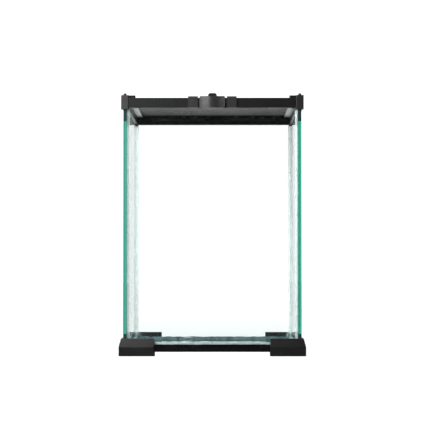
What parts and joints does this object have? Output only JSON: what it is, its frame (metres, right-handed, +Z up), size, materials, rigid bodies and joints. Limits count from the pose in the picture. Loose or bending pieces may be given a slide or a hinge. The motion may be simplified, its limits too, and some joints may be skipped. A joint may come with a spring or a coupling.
{
  "type": "reptile terrarium",
  "caption": "Small upright glass terrarium with black corner feet, channel rim, hinged mesh lid, rocking front catch and sliding shutters over rear cable inlets.",
  "frame": {"origin": "on the ground under the middle of the tank", "axes": "+Z up, -Y towards the front with the catch, +X to the right seen from the front"},
  "size_m": [0.21, 0.21, 0.2959],
  "materials": {
    "black_plastic": "moulded, finely textured, semi-matt",
    "shutter_plastic": "moulded, smooth",
    "catch_plastic": "moulded, satin",
    "clear_glass": "clear float glass with green edges",
    "silicone": "clear cured silicone",
    "mesh_wire": "dark coated woven wire",
    "steel_pin": "plain drawn wire"
  },
  "bodies": {
    "tank": {"foot_front_left": "black_plastic", "foot_front_right": "black_plastic", "foot_rear_right": "black_plastic", "foot_rear_left": "black_plastic", "base_rail_front": "black_plastic", "base_rail_right": "black_plastic", "base_rail_rear": "black_plastic", "base_rail_left": "black_plastic", "floor_glass": "clear_glass", "front_glass": "clear_glass", "rear_glass": "clear_glass", "side_glass_left": "clear_glass", "side_glass_right": "clear_glass", "floor_seal": "silicone", "corner_seal_front_left": "silicone", "corner_seal_front_right": "silicone", "corner_seal_rear_right": "silicone", "corner_seal_rear_left": "silicone", "rim_rail_front": "black_plastic", "rim_rail_right": "black_plastic", "rim_rail_rear": "black_plastic", "rim_rail_left": "black_plastic", "rim_corner_front_left": "black_plastic", "rim_corner_front_right": "black_plastic", "rim_corner_rear_right": "black_plastic", "rim_corner_rear_left": "black_plastic", "corner_pin_front_left": "black_plastic", "corner_pin_front_right": "black_plastic", "corner_pin_rear_right": "black_plastic", "corner_pin_rear_left": "black_plastic", "hinge_pin_left": "steel_pin", "hinge_pin_right": "steel_pin", "latch_lug_left": "black_plastic", "latch_lug_right": "black_plastic", "latch_pin": "steel_pin"},
    "lid": {"lid_frame": "black_plastic", "lid_mesh": "mesh_wire", "mesh_retainer": "black_plastic", "lid_tab": "black_plastic"},
    "catch": {"latch_rocker": "catch_plastic"},
    "shutter_left": {"inlet_shutter_left": "shutter_plastic"},
    "shutter_right": {"inlet_shutter_right": "shutter_plastic"}
  },
  "joints": [
    {"name": "lid_hinge", "type": "hinge", "parent": "tank", "child": "lid", "pos_m": [0, 0.0972, 0.2923], "axis": [-1, 0, 0], "range_deg": [0, 110]},
    {"name": "catch_rock", "type": "hinge", "parent": "tank", "child": "catch", "pos_m": [0, -0.1037, 0.285], "axis": [1, 0, 0], "range_deg": [0, 18]},
    {"name": "shutter_left_slide", "type": "slide", "parent": "tank", "child": "shutter_left", "axis": [-1, 0, 0], "range_m": [0, 0.0145]},
    {"name": "shutter_right_slide", "type": "slide", "parent": "tank", "child": "shutter_right", "axis": [1, 0, 0], "range_m": [0, 0.0145]}
  ]
}
